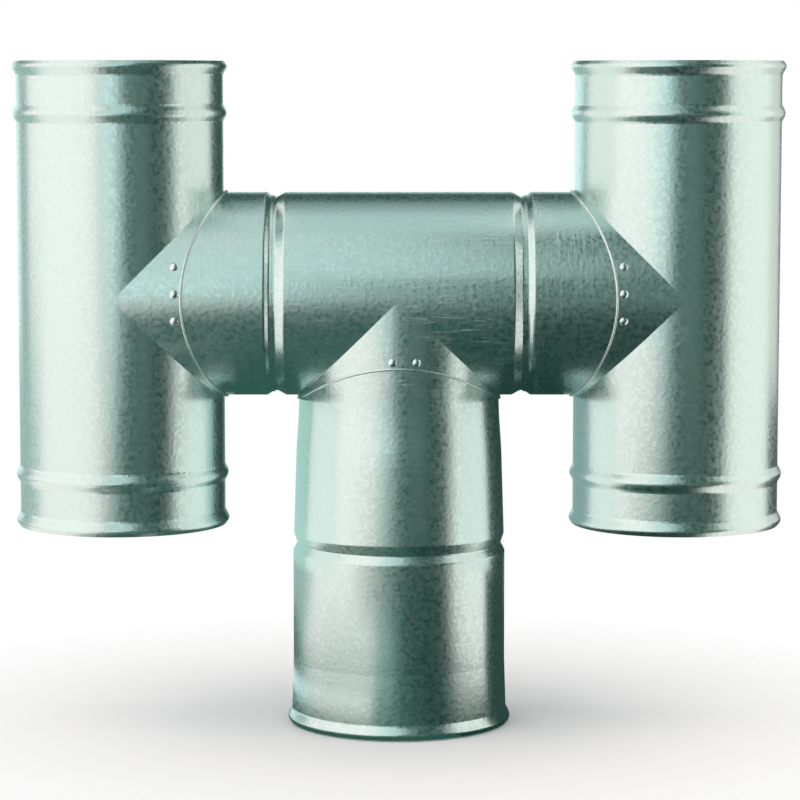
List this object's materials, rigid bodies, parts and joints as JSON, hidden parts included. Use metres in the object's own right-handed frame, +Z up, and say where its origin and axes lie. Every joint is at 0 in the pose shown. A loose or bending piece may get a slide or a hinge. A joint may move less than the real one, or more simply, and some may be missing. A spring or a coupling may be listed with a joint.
{
  "type": "h-style chimney cap",
  "caption": "Galvanised sheet chimney cap in an H: open upright stacks on the ends of a cross tube, over a stem with a flue socket.",
  "frame": {"origin": "centre of the stem's mouth, on the surface that the cap stands on", "axes": "+X from the left stack to the right stack, +Y from the front to the back, +Z up along the stacks"},
  "size_m": [0.3722, 0.1086, 0.3215],
  "materials": {
    "galvanised_sheet": "galvanised, lightly scratched",
    "rivet": "zinc plated"
  },
  "bodies": {
    "root": {"left_stack": "galvanised_sheet", "right_stack": "galvanised_sheet", "left_branch": "galvanised_sheet", "right_branch": "galvanised_sheet", "cross_tube": "galvanised_sheet", "stem": "galvanised_sheet", "left_rivets": "rivet", "right_rivets": "rivet", "stem_rivets": "rivet"}
  },
  "joints": []
}
